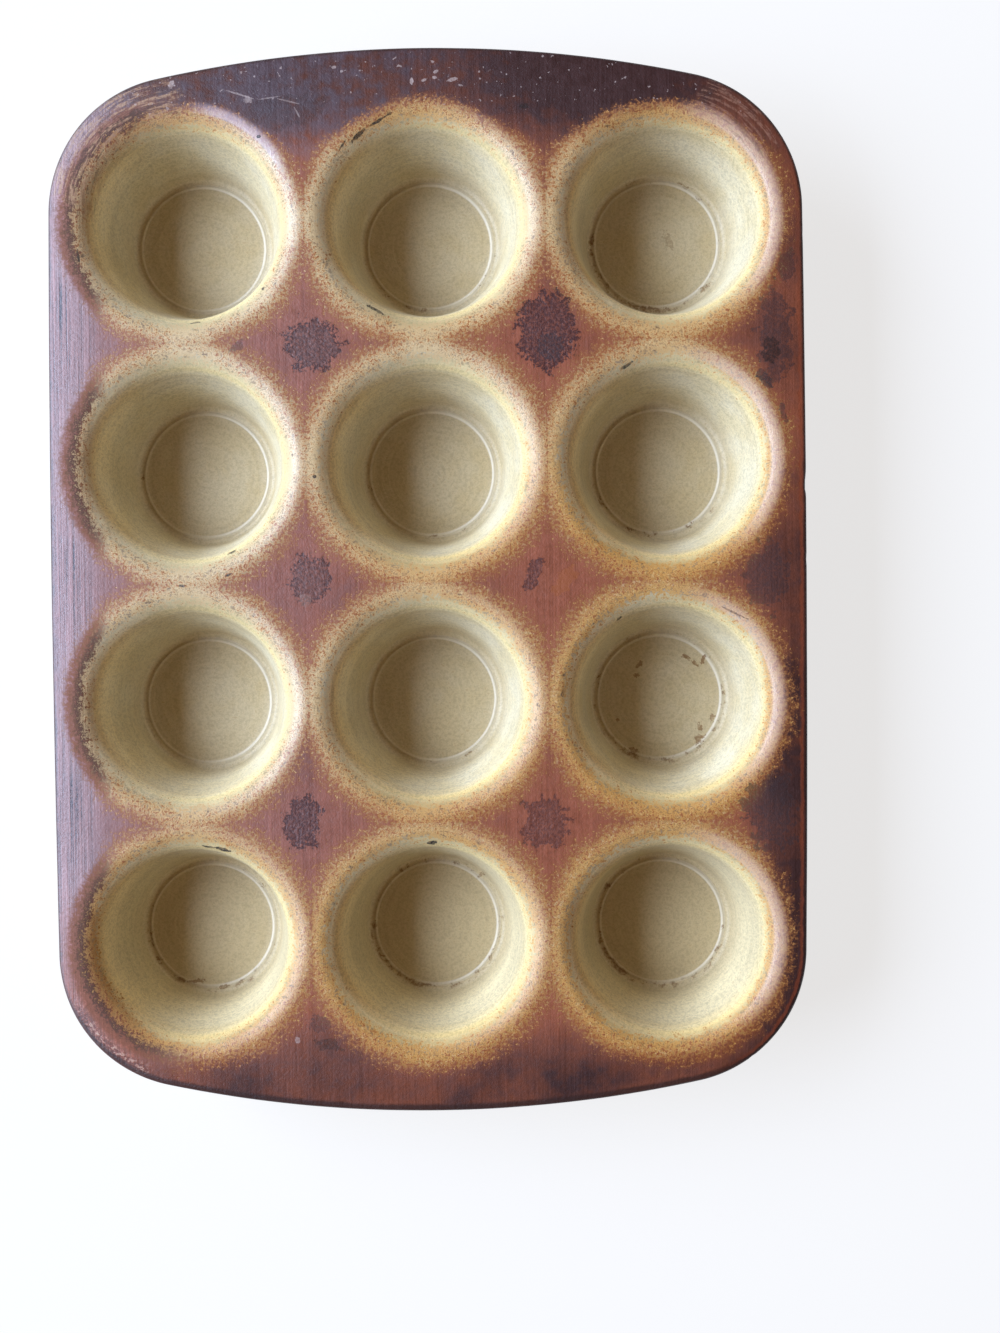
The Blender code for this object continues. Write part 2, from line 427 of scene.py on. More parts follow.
def deck_mesh(shape):
    """Closed skin of the deck: twelve lips and their flats, the rim, and the underside."""
    noise.seed_set(WAVE_SEED)
    section, plan = Section(shape), Plan(shape)
    segments = shape.turn_segments
    cells = [Cell(plan, row, column, section.RIM_INSET, segments) for row, column in CUPS]
    lip = section.lip()
    shoulder = section.cup_outside()[-1][0]
    bm = bmesh.new()
    for cell in cells:
        share_of_deck(bm, cell, lip[0], lip[1:], 9, segments)
    bmesh.ops.remove_doubles(bm, verts=bm.verts[:], dist=WELD)
    high = section.top - WELD
    rim = [e for e in bm.edges if e.is_boundary and min(v.co.z for v in e.verts) > high]
    for inset, z in section.rim():
        rim = grow(bm, rim, lambda co: (*plan.moved(co.xy, inset), z))
    for cell in cells:
        share_of_deck(bm, cell, lip[0], [(shoulder, section.seam)], 3, segments)
    bmesh.ops.remove_doubles(bm, verts=bm.verts[:], dist=WELD)

    inset_layer = bm.verts.layers.float.new("inset")
    under_layer = bm.verts.layers.float.new("under")
    centres = [cell.centre for cell in cells]
    rim_low = section.seam + section.RIM_BOTTOM
    for vert in bm.verts:
        place = vert.co.xy
        inset = plan.inset(place)
        vert[inset_layer] = inset
        seam_vert = min((place - c).length for c in centres) < lip[0][0] + WELD
        if inset < section.RIM_INSET + WELD and vert.co.z < section.top - WELD:
            vert[under_layer] = limited((rim_low + 0.001 - vert.co.z) / 0.003)
        elif vert.co.z < section.seam + WELD and not seam_vert:
            vert[under_layer] = 1.0
        level = limited((vert.co.z - section.seam) / (section.top - section.seam))
        vert.co.z -= section.border_fall(inset) * level
        vert.co += uneven(vert.co, shape.unevenness, inset)
        vert.co.z = min(vert.co.z, section.top)
        bite = noise.noise(Vector((vert.co.x, vert.co.y, 0.0)) * RIM_CHIPS) - RIM_RARE
        if inset < CHIPPED_INSET and bite > 0.0 and vert.co.x > CHIPPED_SIDE:
            deeper = plan.inset(vert.co.xy) + min(bite * 0.003, DEEPEST_CHIP)
            vert.co.xy = plan.moved(vert.co.xy, deeper)
    return bm


def cup_mesh(shape, row, column):
    """Closed skin of one cup: drafted inside with a floor ring, outside wall, foot and base."""
    noise.seed_set(WAVE_SEED)
    section = Section(shape)
    inside, outside = section.cup_inside(), section.cup_outside()
    bm = bmesh.new()
    outer_layer = bm.verts.layers.float.new("outside")
    crust_layer = bm.verts.layers.float.new("crust")
    verts = []
    for points, side in ((outside, 1.0), (inside, 0.0)):
        for radius, z in points:
            vert = bm.verts.new((radius, 0.0, z))
            vert[outer_layer] = side
            vert[crust_layer] = CRUST[row][column]
            verts.append(vert)
    edges = [bm.edges.new(pair) for pair in zip(verts, verts[1:])]
    turn = {"axis": (0.0, 0.0, 1.0), "angle": 2 * math.pi, "steps": shape.turn_segments}
    bmesh.ops.spin(bm, geom=verts + edges, use_merge=True, **turn)
    bmesh.ops.remove_doubles(bm, verts=bm.verts[:], dist=SPIN_WELD)
    axis = cup_axis(row, column)
    for vert in bm.verts:
        vert.co.xy += axis
        vert.co += uneven(vert.co, shape.unevenness)
        from_axis = (vert.co.xy - axis).length
        bite = noise.noise(vert.co * FOOT_CHIPS) - FOOT_RARE
        foot = vert[outer_layer] > 0.5 and vert.co.z < CHIPPED_HEIGHT and from_axis > CHIPPED_RADIUS
        if foot and bite > 0.0:
            vert.co.xy = axis + (vert.co.xy - axis) * (1 - bite * 0.05)
            vert.co.z += bite * 0.0015
        vert.co.z = max(vert.co.z, 0.0)
    return bm


# Shader graphs


def both_ways(operation):
    """An operator's two methods: with the value on its left, and with the value on its right."""
    return (
        lambda value, other: value.graph.math(operation, value, other),
        lambda value, other: value.graph.math(operation, other, value),
    )


class Value:
    """What a shader node gives. Sums, differences and products of it add nodes."""

    def __init__(self, graph, socket):
        self.graph, self.socket = graph, socket

    __add__, __radd__ = both_ways("ADD")
    __sub__, __rsub__ = both_ways("SUBTRACT")
    __mul__, __rmul__ = both_ways("MULTIPLY")


class Graph:
    """Adds and joins the nodes of one shader tree."""

    # A mix node has sockets for numbers and vectors too, and these are those for colours
    MIX_INPUTS, MIX_OUTPUT = (0, 6, 7), 2

    def __init__(self, tree):
        self.tree, self.colour = tree, None

    def add(self, kind, **settings):
        node = self.tree.nodes.new(kind)
        for key, value in settings.items():
            setattr(node, key, value)
        return node

    def feed(self, node, values):
        """Joins or sets a node's inputs, in order or by name."""
        for key, value in values.items() if isinstance(values, dict) else enumerate(values):
            socket, value = node.inputs[key], getattr(value, "socket", value)
            if isinstance(value, bpy.types.NodeSocket):
                self.tree.links.new(value, socket)
            elif socket.type == "RGBA" and len(value) == 3:
                socket.default_value = (*value, 1.0)
            else:
                socket.default_value = value
        return node

    def fed(self, kind, values, output=0, **settings):
        """What a new node gives when its inputs are fed."""
        return Value(self, self.feed(self.add(kind, **settings), values).outputs[output])

    def math(self, operation, *values):
        return self.fed("ShaderNodeMath", values, operation=operation)

    def larger(self, a, b):
        return self.math("MAXIMUM", a, b)

    def smaller(self, a, b):
        return self.math("MINIMUM", a, b)

    def vector(self, operation, *values, output=0):
        return self.fed("ShaderNodeVectorMath", values, output, operation=operation)

    def scaled(self, vector, scale):
        return self.fed("ShaderNodeVectorMath", {0: vector, "Scale": scale}, operation="SCALE")

    def split(self, vector):
        node = self.feed(self.add("ShaderNodeSeparateXYZ"), (vector,))
        return [Value(self, socket) for socket in node.outputs]

    def joined(self, x, y, z):
        return self.fed("ShaderNodeCombineXYZ", (x, y, z))

    def ramp(self, value, low, high, to_low=0.0, to_high=1.0):
        values = (value, low, high, to_low, to_high)
        return self.fed("ShaderNodeMapRange", values, interpolation_type="SMOOTHSTEP", clamp=True)

    def band(self, value, low, inner_low, inner_high, high):
        """1 between the inner limits, falling to 0 at the outer ones."""
        return self.ramp(value, low, inner_low) * self.ramp(value, inner_high, high, 1.0, 0.0)

    def noise(self, vector, scale, detail=2.0, roughness=0.5):
        values = {"Vector": vector, "Scale": scale, "Detail": detail, "Roughness": roughness}
        return self.fed("ShaderNodeTexNoise", values, "Fac", noise_dimensions="3D")

    def mix(self, share, low, high, blend="MIX"):
        values = dict(zip(self.MIX_INPUTS, (share, low, high)))
        kind = {"data_type": "RGBA", "blend_type": blend}
        return self.fed("ShaderNodeMix", values, self.MIX_OUTPUT, **kind)

    def between(self, share, low, high):
        return low + share * (high - low)

    def coat(self, share, tint, blend="MIX"):
        """Lays a coat over the colour so far."""
        self.colour = self.mix(share, self.colour, tint, blend)

    def shade(self, amount):
        """Multiplies the colour so far by a number."""
        self.coat(1.0, self.joined(amount, amount, amount), "MULTIPLY")

    def group(self, name, **values):
        """What a shared group gives, by name."""
        node = self.add("ShaderNodeGroup", node_tree=bpy.data.node_groups[name])
        return {socket.name: Value(self, socket) for socket in self.feed(node, values).outputs}


def blended(g, share, one, other, end):
    """Mixes two shaders by a share, at the end of their tree."""
    blend = g.fed("ShaderNodeMixShader", (share, one.outputs[0], other.outputs[0]))
    g.feed(g.tree.nodes[end], {"Surface": blend})


def new_group(name, inputs, outputs):
    """A new shader node group: its graph, its inputs, and a function that feeds its outputs."""
    tree = bpy.data.node_groups.new(name, "ShaderNodeTree")
    for way, sockets in (("INPUT", inputs), ("OUTPUT", outputs)):
        for socket, kind in sockets.items():
            tree.interface.new_socket(socket, in_out=way, socket_type=kind)
    g = Graph(tree)
    put = {socket.name: Value(g, socket) for socket in g.add("NodeGroupInput").outputs}
    end = g.add("NodeGroupOutput")
    return g, put, lambda **values: g.feed(end, values)


VECTOR, NUMBER, COLOUR = "NodeSocketVector", "NodeSocketFloat", "NodeSocketColor"
CLAY_OUTPUTS = {"Colour": COLOUR, "Height": NUMBER}
# Levels of the deck's top and of the cups' floors, and how deep a spot reaches, in mm
DECK_LEVEL, FLOOR_LEVEL, SPOT_DEPTH = 45.0, 9.0, 30.0
RELIEF = 0.0003
# Warm tint for the painted bounce light on the lips' lower sides
PAINTED_WARM_TINT = (0.97, 0.86, 0.66)


def cup_place_group():
    """Distance from the nearest cup's axis, the way to it, and a vector that runs round the lip."""
    g, put, give = new_group(
        "cup place",
        {"Place": VECTOR},
        {"Distance": NUMBER, "Side": VECTOR, "Round": VECTOR, "Warm": NUMBER},
    )
    pitch = PITCH * MM
    x, y, _ = g.split(put["Place"])
    column = g.smaller(g.larger(g.math("ROUND", x * (1 / pitch)), -1), 1)
    row = g.smaller(g.larger(g.math("FLOOR", y * (1 / pitch)), -2), 1)
    from_axis = g.joined(x - column * pitch, y - (row + 0.5) * pitch, 0)
    distance = g.vector("LENGTH", from_axis, output="Value")
    side = g.vector("NORMALIZE", from_axis)
    seed = g.joined(column * 31.7, row * 47.3, distance * 1.8)
    # Painted warm bounce light on the lips' lower sides, mostly for the middle and right cups and
    # the bottom row
    painted_warmth = g.larger(g.ramp(x, -60, -10), g.ramp(y, -60, -130))
    painted_warmth *= g.ramp(g.split(side)[1], 0.1, -0.9) * g.ramp(distance, 33.5, 37)
    painted_warmth *= g.ramp(y, 110, 60, 0.35, 0.7)
    give(Distance=distance, Side=side, Round=g.vector("ADD", g.scaled(side, 34), seed), Warm=painted_warmth)


def ragged_spot_group():
    """A stain round a centre, with its size along X and Y, its turn and its broken edge."""
    g, put, give = new_group(
        "ragged spot",
        {"Place": VECTOR, "Centre": VECTOR, "Size": VECTOR, "Turn": NUMBER, "Ragged": NUMBER},
        {"Mask": NUMBER, "Edge": NUMBER},
    )
    turn = {"Vector": put["Place"], "Center": put["Centre"], "Angle": put["Turn"] * -1}
    turned = g.fed("ShaderNodeVectorRotate", turn, rotation_type="Z_AXIS")
    from_centre = g.vector("DIVIDE", g.vector("SUBTRACT", turned, put["Centre"]), put["Size"])
    edge = g.vector("LENGTH", from_centre, output="Value") + put["Ragged"]
    give(Mask=g.ramp(edge, 0.9, 1.08, 1, 0), Edge=g.band(edge, 0.6, 0.9, 1, 1.12))


def clay_grain_group():
    """Noises about zero for both finishes: sandy grain, patches, wide drifts and small lobes."""
    g, put, give = new_group(
        "clay grain",
        {"Place": VECTOR},
        {"Grain": NUMBER, "Mid": NUMBER, "Broad": NUMBER, "Lobes": NUMBER},
    )
    place = put["Place"]
    small = (g.noise(place, 0.75, 2, 0.6) - 0.5) * 2.2
    give(
        Grain=(g.noise(place, 0.8, 3, 0.8) - 0.5) * 8.5,
        Mid=g.noise(place, 0.22, 3, 0.55) - 0.5,
        Broad=g.noise(place, 0.03, 2) - 0.5,
        Lobes=small + (g.noise(place, 0.24, 3, 0.65) - 0.5) * 3,
    )


def cream_group(finish):
    """Clean pale clay of the insides: sandy grain, forming lines, a yellow lip, baked specks."""
    g, put, give = new_group(
        "cream clay",
        {"Place": VECTOR, "Distance": NUMBER, "Side": VECTOR, "Grain": NUMBER, "Warm": NUMBER},
        CLAY_OUTPUTS,
    )
    place, distance, grain = put["Place"], put["Distance"], put["Grain"]
    x, y, z = g.split(place)
    side_x, side_y, _ = g.split(put["Side"])
    cream = tuple(finish.cream)
    deep = tuple(c * s for c, s in zip(cream, (0.94, 0.9, 0.8)))
    blotch = g.ramp(g.noise(place, 0.06, 3, 0.55), 0.36, 0.68)
    g.colour = g.mix(g.larger(blotch, g.ramp(y, -60, -130)), cream, deep)
    yellow = g.band(distance, 33.5, 36.5, 39, 41.5) + g.band(distance, 35.2, 36, 36.6, 37.4) * 0.3
    g.coat(yellow * g.ramp(side_x, -0.7, 0.3, 0.35, 0.68), (0.71, 0.575, 0.27))
    # Painted warm bounce light on the lips' lower sides
    g.coat(put["Warm"], PAINTED_WARM_TINT, "MULTIPLY")
    # Painted light: paler low on the walls and on the shaded left lips
    painted_light_low_wall = g.ramp(side_y, -0.2, -0.9, 0, 0.28) * g.band(distance, 27, 30, 35, 39)
    painted_light_left_lip = g.ramp(side_x, -0.3, -0.9, 0, 0.32) * g.band(distance, 31.5, 34.5, 38, 40.5)
    g.shade(1 + painted_light_low_wall + painted_light_left_lip)
    lines = g.noise(g.joined(distance + z * 0.5, x * 0.03, y * 0.03), 0.8, 2)
    sand = g.ramp(grain, -1.2, 1.2, 0.8, 1.13)
    g.shade(sand + g.ramp(lines, 0.3, 0.7, -0.05, 0.05))
    speck = g.ramp(g.noise(place, 0.8, 2, 0.6), 0.59, 0.7) * 0.42
    g.coat(speck, (0.26, 0.16, 0.07))
    give(Colour=g.colour, Height=grain * 0.12 + lines * 1.2 + speck * -0.5)


def toasted_group(finish):
    """Bare clay toasted by use: golden, browner in patches, with dark smudges and spots."""
    g, put, give = new_group("toasted clay", {"Place": VECTOR}, CLAY_OUTPUTS)
    place, toasted = put["Place"], tuple(finish.toasted)
    pale = tuple(min(c * s, 1.0) for c, s in zip(toasted, (1.25, 1.4, 1.75)))
    brown = tuple(c * s for c, s in zip(toasted, (0.62, 0.48, 0.38)))
    patch = g.noise(place, 0.035, 4, 0.55)
    grain = g.noise(place, 1.3, 3, 0.6)
    g.colour = g.mix(g.ramp(patch, 0.34, 0.66), pale, toasted)
    smudge = g.ramp(g.noise(g.vector("MULTIPLY", place, (1, 1, 0.45)), 0.075, 4, 0.6), 0.52, 0.74)
    g.coat(smudge * 0.8, brown)
    g.shade(g.ramp(grain, 0.3, 0.7, 0.88, 1.08))
    speck = g.ramp(g.noise(place, 0.7, 2), 0.68, 0.76)
    g.coat(speck * 0.7, (0.09, 0.045, 0.025))
    give(Colour=g.colour, Height=grain * 0.6 - speck * 0.5)


def new_material(name):
    material = bpy.data.materials.new(name)
    material.use_nodes = True
    return material, Graph(material.node_tree), material.node_tree.nodes["Principled BSDF"]


def attribute(g, name):
    return g.fed("ShaderNodeAttribute", (), "Fac", attribute_name=name)


def clay_parts(g):
    """Place in mm, the nearest cup, the grains, cream clay and toasted clay, for both finishes."""
    place = g.scaled(g.add("ShaderNodeTexCoord").outputs["Object"], MM)
    cup = g.group("cup place", Place=place)
    noises = g.group("clay grain", Place=place)
    shared = {name: cup[name] for name in ("Distance", "Side", "Warm")}
    cream = g.group("cream clay", Place=place, Grain=noises["Grain"], **shared)
    return place, cup, noises, cream, g.group("toasted clay", Place=place)


def ragged_spot(g, place, centre, size, turn, ragged):
    """Mask and edge of one spot, with its centre and size in mm and its turn in degrees."""
    size, turn = (*size, SPOT_DEPTH), math.radians(turn)
    return g.group("ragged spot", Place=place, Centre=centre, Size=size, Turn=turn, Ragged=ragged)


def dress(g, shader, rough, height, strength):
    """Joins a finish's colour, roughness and fine relief to its shader."""
    bump = g.fed("ShaderNodeBump", {"Height": height, "Strength": strength, "Distance": RELIEF})
    g.feed(shader, {"Base Color": g.colour, "Roughness": rough, "Normal": bump})


# Stains on the deck: X and Y of the centre, half width and half length in mm, turn in degrees, how
# broken and how strong the middle is, its colour, and for some how strong a dark edge is
PLUM = (0.07, 0.026, 0.027)
SLATE = (0.046, 0.027, 0.029)
ASH = (0.095, 0.05, 0.048)
ROAST = (0.36, 0.105, 0.028)
CHAR = (0.018, 0.01, 0.008)
CHALK = (0.56, 0.45, 0.42)
STAINS = (
    (-42.3, 89.1, 9.6, 8.8, 0, 0.5, 0.78, ASH, 0.9),
    (45, 93.5, 10.6, 13.8, 0, 0.5, 0.88, PLUM, 0.85),
    (46.5, 88, 4.6, 5.6, 0, 0.5, 0.7, SLATE),
    (-44.5, 1.5, 7, 8.5, 0, 0.5, 0.6, ASH, 0.75),
    (-46.2, -6, 2.2, 2.4, 0, 0.6, 0.35, (0.36, 0.21, 0.16)),
    (39.4, 2.9, 2.6, 6.5, -22, 0.55, 0.65, PLUM, 0.55),
    (51.1, 0.4, 3.2, 6.2, -35, 0.9, 0.55, ROAST),
    (-48.2, -89.5, 6.4, 9.6, -12, 0.55, 0.85, PLUM, 0.75),
    (42.8, -90.8, 8, 9, 0, 0.85, 0.55, PLUM, 0.4),
    (130.5, 91, 6, 17, 0, 0.95, 0.66, SLATE),
    (128.8, 86, 3.2, 5, 0, 0.8, 0.7, CHAR),
    (135, 116, 3, 7, 0, 0.95, 0.6, SLATE),
    (127, 1, 7.5, 12, 0, 0.95, 0.65, SLATE),
    (127.5, -87, 9, 14, 0, 0.95, 0.72, SLATE),
    (37.2, 177, 1.9, 1.2, 0, 0.7, 0.75, CHAR),
    (-43.1, -166, 4, 3.5, 0, 0.9, 0.55, SLATE),
    (-40, -174, 5.5, 2.2, -10, 0.9, 0.55, CHAR),
    (-52, 176, 14, 7, 12, 0.8, 0.45, SLATE),
    (-70.4, 88.9, 3, 1.5, 35, 0.9, 0.6, PLUM),
    (-78.9, -100.2, 3, 0.75, -12, 0.7, 1, CHAR),
    (-84.3, -99.2, 2, 0.4, -10, 0.8, 0.9, CHAR),
    (0.2, -98.2, 1.9, 0.75, 10, 0.7, 1, CHAR),
    (-24.4, 167.3, 3.4, 0.75, 42, 0.8, 1, CHAR),
    (-31, 162.6, 3.6, 0.4, 56, 0.9, 0.9, CHAR),
    (-17.2, 172.2, 4.4, 0.4, 30, 0.9, 0.9, CHAR),
    (-61.7, 166.8, 0.8, 0.7, 0, 0.5, 1, CHAR),
    (-61.1, 110.8, 0.8, 0.7, 0, 0.5, 1, CHAR),
    (-18.3, 102, 3.4, 0.55, -30, 0.9, 0.9, CHAR),
    (-129.7, 122.7, 0.5, 2.2, 10, 0.8, 0.9, CHAR),
    (-86.6, 98.5, 1.8, 0.4, 8, 0.6, 0.8, CHAR),
    (-42.3, 40.1, 0.7, 0.6, 0, 0.5, 1, CHAR),
    (-74.3, 12.1, 2, 0.5, 26, 0.7, 1, CHAR),
    (-74.9, 3.6, 1.5, 0.45, 20, 0.8, 0.9, CHAR),
    (-92.1, -0.4, 1.3, 0.5, 0, 1, 0.8, CHAR),
    (-97.5, -1.4, 0.9, 0.45, 20, 1, 0.7, CHAR),
    (75.1, 80.6, 2.2, 0.5, 30, 0.8, 0.9, CHAR),
    (71.6, -14.2, 1.6, 0.5, 40, 0.8, 0.9, CHAR),
    (114, -12.2, 4.6, 0.32, -26, 0.9, 0.75, (0.1, 0.042, 0.018)),
    (126.3, 74.8, 4.2, 1.6, -60, 1, 0.8, SLATE),
    (133.5, 63, 1.4, 3.6, 10, 1, 0.7, SLATE),
    (-68.5, 182.4, 6, 0.32, -18, 0.35, 0.45, CHALK),
    (-57.6, 181, 4.2, 0.26, 8, 0.35, 0.38, CHALK),
    (-50.2, 179.6, 4.4, 0.26, -14, 0.35, 0.34, CHALK),
    (-47.2, 175.4, 2.2, 0.28, -62, 0.35, 0.4, CHALK),
    (-94.2, 186.6, 0.9, 2, -15, 0.8, 0.7, CHALK),
    (-51.1, -172, 1, 1.4, -8, 0.9, 0.42, CHALK),
    (-4.4, 186.7, 0.6, 1.2, 0, 0.6, 0.7, CHALK),
    (0.1, 187, 0.9, 0.5, 20, 0.6, 0.6, CHALK),
    (4.1, 187.9, 0.8, 0.5, 0, 0.6, 0.6, CHALK),
    (4.6, 190.2, 0.9, 0.6, 30, 0.6, 0.55, CHALK),
    (10.5, 187.1, 1.8, 0.6, 10, 0.9, 0.55, CHALK),
    (13.8, 185, 1.2, 0.4, -10, 0.9, 0.5, CHALK),
    (-33.3, 192.3, 0.8, 0.5, 0, 0.6, 0.6, CHALK),
    (-65.4, 180.6, 1.6, 1.2, 20, 0.9, 0.42, CHALK),
)
# Worn corners: X and Y of the centre, half size, how strongly worn, colour of the bared clay
WORN = ((-116, 165, 29, 0.8, (0.42, 0.25, 0.14)), (118, 172, 18, 0.45, (0.4, 0.22, 0.15)))


def deck_material(finish):
    """Seasoned deck: brushed mahogany, a speckled golden fringe round the mouths, stains, wear."""
    material, g, shader = new_material("seasoned deck")
    place, cup, noises, clay, bare = clay_parts(g)
    x, y, z = g.split(place)
    distance = cup["Distance"]
    side_x, side_y, _ = g.split(cup["Side"])
    grain, mid, broad, lobes = noises.values()
    inset = attribute(g, "inset") * MM
    under = attribute(g, "under")
    brush = g.noise(g.vector("MULTIPLY", place, (1.7, 0.022, 0.3)), 1, 3, 0.6) - 0.5
    border = g.ramp(inset + mid * 3, 21, 14)
    left = g.ramp(x, -96, -128)

    # Mahogany, burnt towards the top, the right and the bottom, with a painted lavender sheen
    # towards the left and the top left
    dark = (
        g.ramp(y, 152, 184) * g.ramp(x, 60, 100, 0.9, 0.7)
        + g.ramp(x, 20, 60) * g.ramp(x, 120, 80) * g.ramp(y, 60, 180) * 0.5
        + g.ramp(x, 104, 138) * g.ramp(y, 60, -60, 0.3, 1)
        + g.ramp(y, -158, -188, 0, 0.62) * (1 - left * 0.75)
        + broad * g.ramp(y, 150, 172, 1.7, 0.8)
        + mid * 0.9
    )
    g.colour = g.mix(g.smaller(g.larger(dark, 0), 1), finish.seasoned, finish.burnt)
    high = g.ramp(y, 150, 172)
    # Painted sheen: the window's lavender reflection on the left border, the top left and the left
    # of the deck
    painted_top_sheen = high * g.ramp(x, 40, -40) * g.ramp(broad + mid, -0.24, 0.12) * 0.58
    painted_sheen = g.larger(left * g.ramp(y, -165, -110, 0.22, 1) * (0.6 + border * 0.14), painted_top_sheen)
    painted_left_sheen = g.ramp(x, 30, -100) * g.ramp(y, 150, 120) * g.ramp(y, -160, -120) * 0.24
    painted_sheen = g.larger(painted_sheen, painted_left_sheen)
    painted_sheen_tint = g.mix(high * (1 - left), (0.262, 0.172, 0.184), (0.1, 0.066, 0.08))
    g.coat(painted_sheen, painted_sheen_tint)
    lines = brush * (0.9 + left * border * 1.5)
    ends = left * g.ramp(g.math("ABSOLUTE", y), 100, 150, 0.05, 0.24)
    g.shade(1 + lines + grain * 0.09 + mid * 0.6 + ends)

    # Fringe round the mouths: how far each tone reaches from a cup's axis, in mm
    outer = g.ramp(inset, 9, 21, 1, 0)
    reach = distance + outer * 3.6 + side_x * outer * -1.2 + side_x * 0.8
    top = g.ramp(y, 158, 176) * g.ramp(side_y, 0.2, 0.8)
    corner = g.ramp(x, -98, -122) * (g.ramp(y, 142, 166, 0, 1.6) + g.ramp(y, -142, -166, 0, 2.4))
    flank = g.ramp(y, 105, 130) * g.band(x, -70, -54, -44, -36)
    steep = g.larger((distance - 40) * 0.6, 0)
    reach = reach + top * (2 + steep) + corner + flank * 1.5
    paler = g.ramp(x, 60, -70) * g.ramp(y, -140, -40)
    paler = g.larger(paler, g.ramp(x, 200, -30) * g.ramp(y, 20, 90)) * (1 - top * 0.8)
    saddle = g.ramp(g.math("ABSOLUTE", side_x * side_y), 0.34, 0.04) * (1 - outer)
    drift = reach + saddle * g.between(paler, -0.9, -3.1) + mid * 5.5 + broad * 6 + lobes * 0.9

    def zone(grains, low, high):
        return g.ramp(drift + grain * grains, low, high, 1, 0)

    g.coat(zone(2.4, 46, 52.5) * 0.9, finish.rust)
    g.coat(zone(4.4, 44, 48) * 0.92, finish.amber)
    golden = g.mix(paler, finish.gold, (0.66, 0.5, 0.27))
    g.coat(zone(4.8, 42, 44.8) * 0.95, golden)
    clean = g.ramp(reach + mid * 3 + broad * 3 + grain * 2.2, 37.9, 40.1, 1, 0)
    g.coat(clean, clay["Colour"])

    # Dark crescents on the left of the left column's lips: partly scorched seasoning, partly
    # painted shade where the lips turn from the light
    scorch_and_shade = g.ramp(side_x, 0.1, -0.5) * g.ramp(inset, 24, 16) * g.ramp(x, -60, -95)
    near = distance + mid * 4 + grain * 1.5 + g.ramp(y, 20, -60, 0, 0.7)
    g.coat(scorch_and_shade * g.band(near, 41, 43, 46, 49.8) * 0.82, (0.2, 0.07, 0.035))
    burnt = scorch_and_shade * g.band(near, 40.8, 42.2, 43.6, 45.4) * g.ramp(grain, 1.1, 0.1, 0.3, 0.85)
    g.coat(burnt, (0.068, 0.028, 0.015))

    # Pale and dark specks, dashes, and a painted sheen and glint on the lips
    salt = g.ramp(g.noise(place, 0.85, 2, 0.7), 0.56, 0.66) * g.ramp(drift + outer * 1.5, 51, 44)
    salt *= g.ramp(distance, 40, 42) * (1 - scorch_and_shade * 0.7) * 0.5
    g.coat(salt, (0.7, 0.53, 0.27))
    pepper = g.ramp(grain, -0.1, -0.8) * g.band(drift, 37.5, 40, 46.5, 50.5)
    g.coat(pepper * 0.58, (0.19, 0.075, 0.024))
    dash = g.ramp(g.noise(cup["Round"], 0.3, 3, 0.6), 0.6, 0.68)
    dash *= g.band(distance + mid * 5, 39.4, 40.2, 41.4, 42.6) * g.ramp(grain, 0.6, -0.2)
    g.coat(dash * 0.7, (0.1, 0.045, 0.018))

    # Painted highlights: the window's pinkish sheen on the right lips and a lavender glint on the
    # top left cup's upper lip
    facing = g.ramp(side_x + side_y * 0.3, 0.3, 0.85)
    dull, bright = g.band(distance, 40.5, 42, 43, 45.5), g.band(distance, 38.4, 39.4, 41.4, 44.8)
    sheen = g.between(g.ramp(x, 60, 110), dull * 0.09, bright * 0.35)
    g.coat(sheen * facing, (0.72, 0.55, 0.47))
    glint = g.band(distance, 40.2, 41.4, 42.8, 45.4) * g.ramp(y, 140, 158)
    glint *= g.band(x, -90, -76, -58, -50) * 0.48
    g.coat(glint, (0.58, 0.48, 0.54))

    # Streaks on the left border, beside the gaps between rows, and then the single stains
    streak = g.ramp(brush, -0.03, -0.13) * g.ramp(lobes + 0.2, -0.5, 0.4)
    for spot_y in (97.1, 1.4, -89.1):
        centre = (-135.6, spot_y, DECK_LEVEL)
        spot = ragged_spot(g, place, centre, (5.5, 17), 0, lobes * 0.3)["Mask"]
        g.coat(spot * streak * 0.9, (0.03, 0.022, 0.034))

    crusty = 0.0
    for cx, cy, half_x, half_y, turn, broken, middle, tint, *rim in STAINS:
        fray = 0.45 * broken if half_y < 4.0 else 0.1
        ragged = mid * (2.6 * broken) + lobes * fray + grain * 0.1
        spot = ragged_spot(g, place, (cx, cy, DECK_LEVEL), (half_x, half_y), turn, ragged)
        share = spot["Mask"] * g.ramp(grain, 0.9, -0.9, middle * 0.62, middle)
        g.coat(share, tint)
        if rim:
            dots = g.larger(spot["Edge"], spot["Mask"] * 0.45)
            g.coat(dots * g.ramp(grain, 0.7, -0.5) * rim[0], (0.05, 0.013, 0.011))
            crusty = g.larger(crusty, spot["Mask"])

    # Two worn corners, the flaked bottom left one, and pale flecks at the top
    worn = g.noise(g.joined(inset * 0.9, x * 0.09, y * 0.09), 1, 3, 0.7)
    for cx, cy, half, amount, tint in WORN:
        centre = (cx, cy, DECK_LEVEL)
        spot = ragged_spot(g, place, centre, (half, half), 0, lobes * 0.2)["Mask"]
        scraped = spot * g.ramp(worn, 0.47, 0.38) * g.ramp(inset, 20, 12) * (amount * 0.75)
        g.coat(scraped, (0.085, 0.04, 0.024))
        rubbed = spot * g.ramp(worn, 0.48, 0.58) * g.ramp(inset, 20, 12)
        g.coat(rubbed * g.ramp(grain, -1, 0.2, 0.2, 1) * amount, tint)

